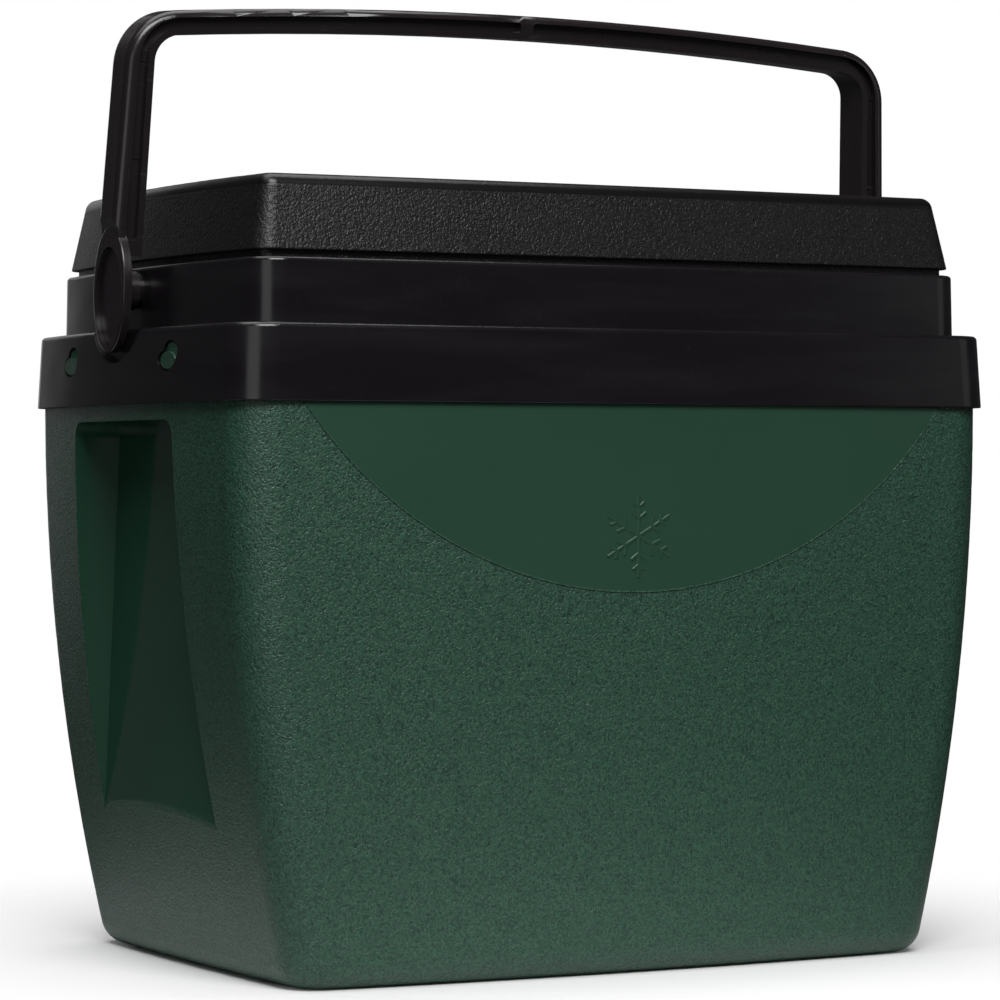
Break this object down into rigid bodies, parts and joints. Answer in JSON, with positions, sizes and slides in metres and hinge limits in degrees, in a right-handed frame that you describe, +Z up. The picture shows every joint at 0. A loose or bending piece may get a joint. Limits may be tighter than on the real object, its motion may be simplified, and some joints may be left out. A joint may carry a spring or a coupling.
{
  "type": "picnic cool box",
  "caption": "Insulated plastic picnic cool box with tapered shell, stepped collar, lift-off lid and a swinging bail carry handle.",
  "frame": {"origin": "centre of the footprint, on the surface that the box stands on", "axes": "+Z up; +X along the long side and along the handle's pivot axis; -Y is the front, the long side towards which the handle leans"},
  "size_m": [0.4704, 0.2924, 0.5048],
  "materials": {
    "shell_green": "satin",
    "collar_black": "gloss",
    "lid_black": "matte",
    "handle_black": "satin",
    "liner_white": "satin",
    "foam_white": "matte",
    "pivot_steel": "satin"
  },
  "bodies": {
    "box": {"outer_shell": "shell_green", "body_insulation": "foam_white", "inner_liner": "liner_white", "collar": "collar_black", "pivot_screw_left": "pivot_steel", "pivot_screw_right": "pivot_steel", "pivot_washer_left": "pivot_steel", "pivot_washer_right": "pivot_steel"},
    "lid": {"lid_cover": "lid_black", "lid_insulation": "foam_white", "lid_liner": "liner_white"},
    "handle": {"carry_handle": "handle_black", "hub_cover_left": "handle_black", "hub_cover_right": "handle_black"}
  },
  "joints": [
    {"name": "lid_lift", "type": "slide", "parent": "box", "child": "lid", "axis": [0, 0, 1], "range_m": [0, 0.07]},
    {"name": "handle_swing", "type": "hinge", "parent": "box", "child": "handle", "pos_m": [0, 0, 0.352], "axis": [1, 0, 0], "range_deg": [-96.6, 87.4]}
  ]
}
